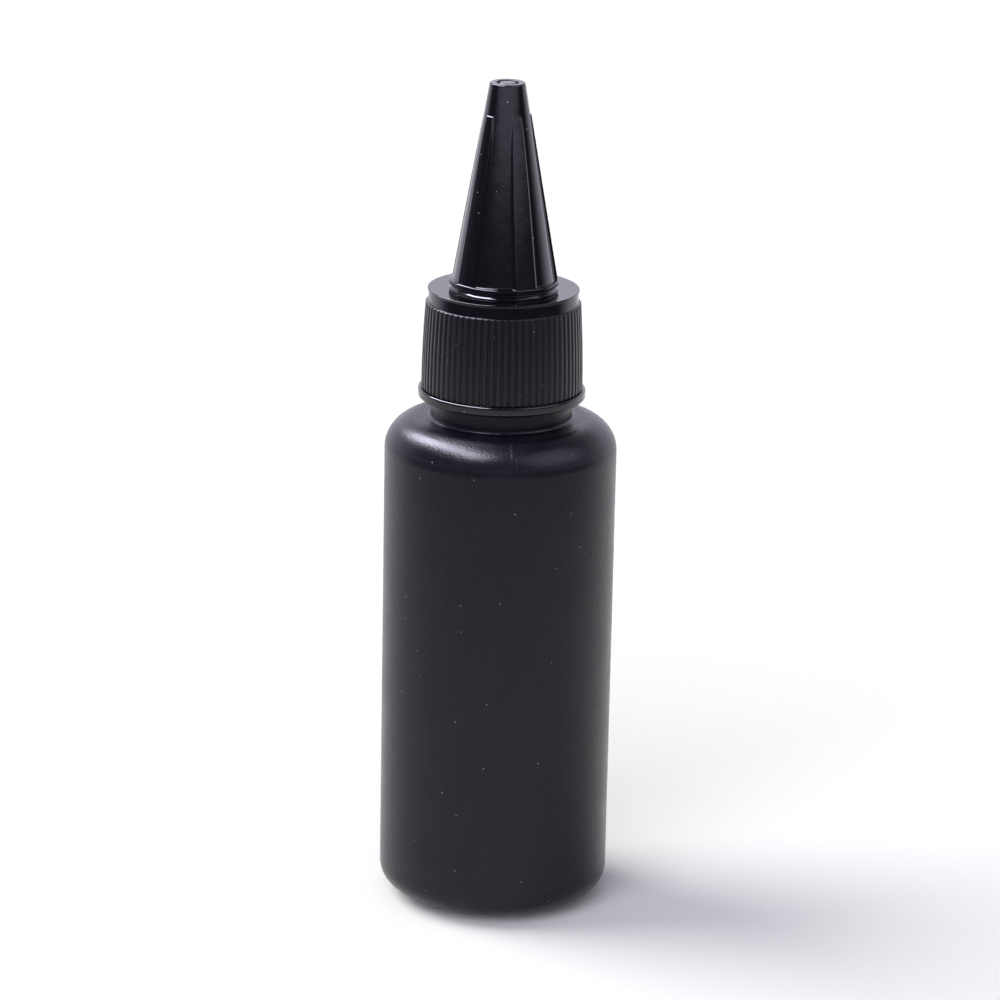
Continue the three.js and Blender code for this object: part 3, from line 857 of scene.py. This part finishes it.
def nozzle_cone(material):
    rib_end = (-RIB_END - HOLD, -RIB_END, -RIB_END / 2, 0.0, HOLD)
    rib_rings = [RIB_TOP + rise for rise in rib_end]
    corners = [
        (GUIDE_RADIUS + 0.4, DECK, 0.1),
        (RING_LIP_RADIUS, DECK, 0.06),
        (RING_LIP_RADIUS, RING_LIP_EDGE, 0.08),
        (RING_GROOVE_RADIUS, RING_LIP_TOP + 0.04, 0.08),
        (RING_GROOVE_RADIUS, RING_LEDGE - 0.04, 0.06),
        (RING_RADIUS, RING_LEDGE, 0.12),
        (RING_RADIUS, RING_TOP, 0.18),
        (cone_radius(RING_TOP), RING_TOP, 0.2),
        *((cone_radius(z), z, 0) for z in rib_rings),
        (CONE_TIP_RADIUS, TIP, 0.2),
        (ORIFICE_RADIUS, TIP, 0.12),
        (ORIFICE_RADIUS, ORIFICE_LAND, 0.2),
        (GUIDE_RADIUS, GUIDE_TOP, 0.3),
        (GUIDE_RADIUS, CHAMBER_TOP, 0.1),
        (CHAMBER_RADIUS, CHAMBER_TOP - 0.35, 0.1),
        (CHAMBER_RADIUS, CHAMBER_BOTTOM + 0.35, 0.1),
        (GUIDE_RADIUS, CHAMBER_BOTTOM, 0.1),
        (GUIDE_RADIUS, DECK + 0.8, 0.1),
    ]
    outline = spaced(rounded(corners, closed=True), lambda r, z: 2.0, closed=True)
    radius, height = columns_and_rings(outline)
    cone = cone_radius(np.clip(height, RING_TOP, TIP))

    # Columns keep to each rib's edges at every height: (offset from its face's edge, share of its rise)
    edge = [(0.6, 0.0), (0.5, 0.03), (0.4, 0.11), (0.3, 0.25), (0.21, 0.43), (0.14, 0.63), (0.09, 0.82)]
    edge += [(0.05, 0.95), (-0.02, 1.0), (-0.12, 1.0)]
    widening = down_the_rib(height) ** RIB_WIDENING
    half_width = RIB_TOP_HALF_WIDTH + (RIB_FOOT_HALF_WIDTH - RIB_TOP_HALF_WIDTH) * widening
    edge_size = 0.4 + 0.6 * widening
    section = [(-1, o, h) for o, h in edge] + [(1, o, h) for o, h in reversed(edge)]
    sector = 2 * math.pi / RIB_COUNT
    edge_turn = (half_width + edge[0][0] * edge_size) / cone
    turns = []
    share_of_rib = []
    for i in range(RIB_COUNT):
        centre = RIB_TURN - math.pi / 2 + i * sector
        for side, offset, share in section:
            turns.append(centre + side * (half_width + offset * edge_size) / cone)
            share_of_rib.append(share)
        for k in range(1, BETWEEN_RIBS):
            turns.append(centre + edge_turn + (sector - 2 * edge_turn) * k / BETWEEN_RIBS)
            share_of_rib.append(0.0)
    angle = np.hstack(turns)
    share_of_rib = np.array(share_of_rib)[None, :]

    beside_rib = (height > RING_TOP - 0.19) & (height < RIB_TOP + 0.2)
    outside = beside_rib & (radius > cone_radius(height) - 0.05)
    grown = 1 - smooth(RIB_TOP - RIB_END, RIB_TOP, height)
    projection = RIB_TOP_PROJECTION + (RIB_FOOT_PROJECTION - RIB_TOP_PROJECTION) * down_the_rib(height)
    nearest = np.round((angle + math.pi / 2 - RIB_TURN) / sector) * sector + RIB_TURN - math.pi / 2
    flattened = 1 + RIB_FLATNESS * (1 / np.cos(angle - nearest) - 1)
    face = cone_radius(height) * flattened + projection * grown
    face = np.minimum(face, RING_RADIUS - 0.03)
    ribbed = radius + (np.maximum(face, radius) - radius) * share_of_rib * (grown > 0)
    radius = np.where(outside, ribbed, radius)
    nozzle = turned_mesh("nozzle_cone", radius, height, angle, closed=True)
    finish_piece(nozzle, "nozzle", "twist_nozzle", material)


# ------------------------------------------------------------------ stage, light and camera

FLOOR_BACK = 1.8
FLOOR_RADIUS = 0.29
FLOOR_CORNERS = 48
SOFTBOX_COLOUR = (0.94, 0.93, 1.12)
SOFTBOX_TARGET = Vector((0, 0, 0.08))
FILL_COLOUR = (0.365, 0.355, 0.4, 1)
BACK_COLOUR = (1.17, 1.15, 1.34, 1)
CAMERA_PLACE = Vector((0.065, -667.6, 256.6))
CAMERA_PITCH = 16.48
CAMERA_ROLL = 1.13

# How light the dim room towards the viewer is in the gloss: (height, from 0 down to 1 up; level)
ROOM_LEVELS = [
    (0.5397, 0.1),
    (0.5475, 0.15),
    (0.5505, 0.18),
    (0.5525, 0.31),
    (0.555, 0.7),
    (0.557, 1.2),
    (0.564, 1.3),
    (0.585, 1.2),
    (0.62, 0.22),
    (1.0, 0.12),
]


def stage_floor(material):
    """A sheet of card with a round front, which runs far back behind the bottle."""
    mesh = bpy.data.meshes.new("stage_floor")
    front = [math.pi * (1 + k / FLOOR_CORNERS) for k in range(FLOOR_CORNERS + 1)]
    corners = [(FLOOR_RADIUS * math.cos(a), FLOOR_RADIUS * math.sin(a), 0) for a in front]
    corners += [(FLOOR_RADIUS, FLOOR_BACK, 0), (-FLOOR_RADIUS, FLOOR_BACK, 0)]
    mesh.from_pydata(corners, [], [range(len(corners))])
    floor = bpy.data.objects.new("stage_floor", mesh)
    bpy.context.scene.collection.objects.link(floor)
    floor.data.materials.append(material)


def direction(azimuth, elevation):
    """Unit vector; azimuth 0 points at the viewer (-Y) and 90 at +X, elevation is above the horizon."""
    a, e = math.radians(azimuth), math.radians(elevation)
    return Vector((math.sin(a) * math.cos(e), -math.cos(a) * math.cos(e), math.sin(e)))


def softbox(name, azimuth, elevation, distance, width, height, radiance, roll=0.0):
    """A rectangular diffuser that faces the bottle and is seen only in its gloss."""
    lamp = bpy.data.lights.new(name, "AREA")
    lamp.shape = "RECTANGLE"
    lamp.size = width
    lamp.size_y = height
    lamp.energy = radiance * math.pi * width * height
    lamp.color = SOFTBOX_COLOUR
    box = bpy.data.objects.new(name, lamp)
    away = direction(azimuth, elevation)
    box.location = SOFTBOX_TARGET + away * distance
    rolled = Matrix.Rotation(math.radians(roll), 3, "Z").to_quaternion()
    box.rotation_mode = "QUATERNION"
    box.rotation_quaternion = away.to_track_quat("Z", "Y") @ rolled
    box.visible_camera = False
    box.visible_diffuse = False
    bpy.context.scene.collection.objects.link(box)


def soft_sun(name, azimuth, elevation, strength, softness, colour):
    """A broad light that draws a soft shadow on the floor and isn't seen in the gloss."""
    lamp = bpy.data.lights.new(name, "SUN")
    lamp.energy = strength
    lamp.color = colour
    lamp.angle = math.radians(softness)
    sun = bpy.data.objects.new(name, lamp)
    sun.rotation_mode = "QUATERNION"
    sun.rotation_quaternion = direction(azimuth, elevation).to_track_quat("Z", "Y")
    sun.visible_glossy = False
    bpy.context.scene.collection.objects.link(sun)


def shade_of(level):
    """The faintly violet grey of the dim room towards the viewer."""
    return (level * 0.98, level * 0.88, level * 1.13, 1)


def studio_world():
    """White behind everything. The gloss mirrors white behind the bottle and a dim room towards the viewer.

    Other rays find an even fill light.
    """
    world = bpy.data.worlds.new("studio")
    bpy.context.scene.world = world
    world.use_nodes = True
    tree = world.node_tree
    tree.nodes.clear()
    ray = add_node(tree, "ShaderNodeLightPath")
    place = add_node(tree, "ShaderNodeTexCoord").outputs["Generated"]
    split = add_node(tree, "ShaderNodeSeparateXYZ", links={"Vector": place})
    aside = add_node(
        tree, "ShaderNodeMath", {"operation": "POWER"}, inputs={1: 2.0}, links={0: split.outputs["X"]}
    )
    lifted = add_node(
        tree,
        "ShaderNodeMath",
        {"operation": "MULTIPLY_ADD"},
        inputs={1: 0.025},
        links={0: aside.outputs["Value"], 2: split.outputs["Z"]},
    )
    up = add_node(
        tree,
        "ShaderNodeMapRange",
        inputs={"From Min": -1.0, "From Max": 1.0},
        links={"Value": lifted.outputs["Value"]},
    )
    front = add_node(tree, "ShaderNodeValToRGB", links={"Fac": up.outputs["Result"]})
    stops = front.color_ramp.elements
    for stop in (stops[0], stops[1]):
        stop.position = ROOM_LEVELS[0][0]
        stop.color = shade_of(ROOM_LEVELS[0][1])
    for position, level in ROOM_LEVELS[1:]:
        stops.new(position).color = shade_of(level)
    back = add_node(
        tree,
        "ShaderNodeMapRange",
        {"interpolation_type": "SMOOTHSTEP"},
        inputs={"From Min": 0.0, "From Max": 0.6},
        links={"Value": split.outputs["Y"]},
    )
    low = add_node(
        tree,
        "ShaderNodeMapRange",
        {"interpolation_type": "SMOOTHSTEP"},
        inputs={"From Min": 0.35, "From Max": 0.65, "To Min": 1.0, "To Max": 0.1},
        links={"Value": split.outputs["Z"]},
    )
    white = add_node(
        tree,
        "ShaderNodeMath",
        {"operation": "MULTIPLY"},
        links={0: back.outputs["Result"], 1: low.outputs["Result"]},
    )
    mirrored = add_node(
        tree,
        "ShaderNodeMix",
        {"data_type": "RGBA"},
        inputs={7: BACK_COLOUR},
        links={0: white.outputs["Value"], 6: front.outputs["Color"]},
    )
    seen_in_gloss = add_node(tree, "ShaderNodeBackground", links={"Color": mirrored.outputs[2]})
    fill = add_node(tree, "ShaderNodeBackground", inputs={"Color": FILL_COLOUR})
    backdrop = add_node(tree, "ShaderNodeBackground", inputs={"Color": (1, 1, 1, 1)})
    gloss_or_fill = add_node(
        tree,
        "ShaderNodeMixShader",
        links={
            0: ray.outputs["Is Glossy Ray"],
            1: fill.outputs["Background"],
            2: seen_in_gloss.outputs["Background"],
        },
    )
    all_rays = add_node(
        tree,
        "ShaderNodeMixShader",
        links={
            0: ray.outputs["Is Camera Ray"],
            1: gloss_or_fill.outputs["Shader"],
            2: backdrop.outputs["Background"],
        },
    )
    add_node(tree, "ShaderNodeOutputWorld", links={"Surface": all_rays.outputs["Shader"]})


def place_camera():
    """A long lens, looking down at the bottle, which leans a little in the frame."""
    camera = bpy.data.cameras.new("camera")
    camera.sensor_width = 36
    camera.lens = 175.8
    camera.clip_start = 0.05
    camera.clip_end = 20
    view = bpy.data.objects.new("camera", camera)
    view.location = CAMERA_PLACE * MM
    pitch = Matrix.Rotation(math.radians(90 - CAMERA_PITCH), 4, "X")
    roll = Matrix.Rotation(math.radians(CAMERA_ROLL), 4, "Z")
    view.rotation_mode = "QUATERNION"
    view.rotation_quaternion = (pitch @ roll).to_quaternion()
    bpy.context.scene.collection.objects.link(view)
    bpy.context.scene.camera = view


polyethylene = blow_moulded_polyethylene()
polypropylene = injection_moulded_polypropylene()
bottle_shell(polyethylene)
liner_washer(expanded_polyethylene_foam())
closure_cap(polypropylene)
plug_pin(polypropylene)
nozzle_cone(polypropylene)
stage_floor(matt_card())
softbox("left_softbox", -96, 59, distance=0.5, width=0.8, height=0.16, radiance=27, roll=22)
softbox("right_softbox", 64, 40, distance=0.6, width=0.6, height=0.45, radiance=1.8)
soft_sun("shadow_sun", -106, 46, strength=2.6, softness=42, colour=(0.98, 1.0, 0.91))
soft_sun("front_sun", -18, 30, strength=1.9, softness=50, colour=(1.0, 0.98, 1.06))
studio_world()
place_camera()
bpy.context.scene.view_settings.view_transform = "Standard"
